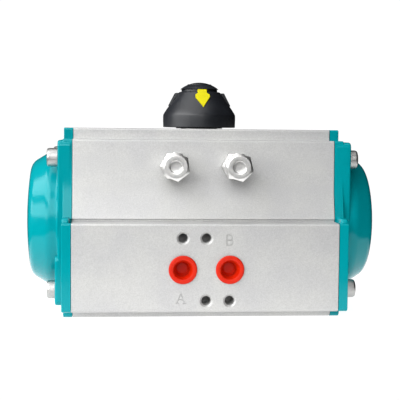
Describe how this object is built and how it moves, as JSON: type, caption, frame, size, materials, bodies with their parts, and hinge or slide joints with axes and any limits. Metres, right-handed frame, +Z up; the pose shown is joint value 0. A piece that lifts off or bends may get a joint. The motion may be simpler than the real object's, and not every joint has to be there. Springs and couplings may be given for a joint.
{
  "type": "rotary pneumatic actuator",
  "caption": "Rack-and-pinion pneumatic quarter-turn actuator with aluminium body, teal end caps, stop bolts, plugged air ports and a position indicator.",
  "frame": {"origin": "centre of the object's box on the bottom mounting face; the output shaft's axis stands 7.1 mm behind it", "axes": "+X along the pistons, +Z up along the output shaft, -Y out of the port face"},
  "size_m": [0.1876, 0.0992, 0.1251],
  "materials": {
    "blasted_aluminium": "bead-blasted, clear anodised",
    "teal_paint": "glossy teal coating on die-cast aluminium",
    "bright_steel": "stainless steel",
    "dark_steel": "nickel-plated steel shaft",
    "spring_steel": "phosphated spring steel",
    "cast_aluminium": "die-cast, machined where it runs",
    "red_plastic": "soft red polyethylene",
    "yellow_plastic": "yellow moulded plastic",
    "black_plastic": "black moulded plastic",
    "bearing_plastic": "engineering plastic",
    "black_rubber": "nitrile rubber"
  },
  "bodies": {
    "housing": {"body": "blasted_aluminium", "end_cap_left": "teal_paint", "end_cap_right": "teal_paint", "cap_seal_left": "black_rubber", "cap_seal_right": "black_rubber", "cap_screw_1": "bright_steel", "cap_screw_2": "bright_steel", "cap_screw_3": "bright_steel", "cap_screw_4": "bright_steel", "cap_screw_5": "bright_steel", "cap_screw_6": "bright_steel", "cap_screw_7": "bright_steel", "cap_screw_8": "bright_steel", "port_plug_a": "red_plastic", "port_plug_b": "red_plastic", "stop_nut_left": "bright_steel", "stop_nut_right": "bright_steel", "stop_seal_left": "black_rubber", "stop_seal_right": "black_rubber", "top_bearing": "bearing_plastic", "bottom_bearing": "bearing_plastic", "thrust_ring": "black_plastic", "thrust_washer": "bright_steel"},
    "output_shaft": {"pinion": "dark_steel", "travel_cam": "cast_aluminium", "bottom_shaft_seal": "black_rubber", "top_shaft_seal": "black_rubber", "snap_ring": "spring_steel", "indicator_base": "black_plastic", "indicator_cap": "black_plastic", "indicator_screw": "bright_steel", "arrow_insert_front": "yellow_plastic", "arrow_insert_back": "yellow_plastic", "blank_insert_left": "black_plastic", "blank_insert_right": "black_plastic"},
    "left_piston": {"piston_left": "cast_aluminium", "piston_seal_left": "black_rubber", "piston_wear_ring_left": "bearing_plastic", "rack_guide_left": "bearing_plastic"},
    "right_piston": {"piston_right": "cast_aluminium", "piston_seal_right": "black_rubber", "piston_wear_ring_right": "bearing_plastic", "rack_guide_right": "bearing_plastic"},
    "left_stop": {"stop_bolt_left": "bright_steel"},
    "right_stop": {"stop_bolt_right": "bright_steel"}
  },
  "joints": [
    {"name": "pinion_turn", "type": "hinge", "parent": "housing", "child": "output_shaft", "pos_m": [0, 0.0071, 0.05], "axis": [0, 0, 1], "range_deg": [-3, 87]},
    {"name": "right_piston_slide", "type": "slide", "parent": "housing", "child": "right_piston", "axis": [1, 0, 0], "range_m": [-0.00075, 0.0206]},
    {"name": "left_piston_slide", "type": "slide", "parent": "housing", "child": "left_piston", "axis": [-1, 0, 0], "range_m": [-0.00075, 0.0206]},
    {"name": "left_stop_adjust", "type": "slide", "parent": "housing", "child": "left_stop", "axis": [0, -1, 0], "range_m": [0, 0.002]},
    {"name": "right_stop_adjust", "type": "slide", "parent": "housing", "child": "right_stop", "axis": [0, -1, 0], "range_m": [0, 0.002]}
  ],
  "couplings": [
    {"joint": "right_piston_slide", "follows": "pinion_turn", "m_per_rad": 0.0135},
    {"joint": "left_piston_slide", "follows": "pinion_turn", "m_per_rad": 0.0135}
  ]
}
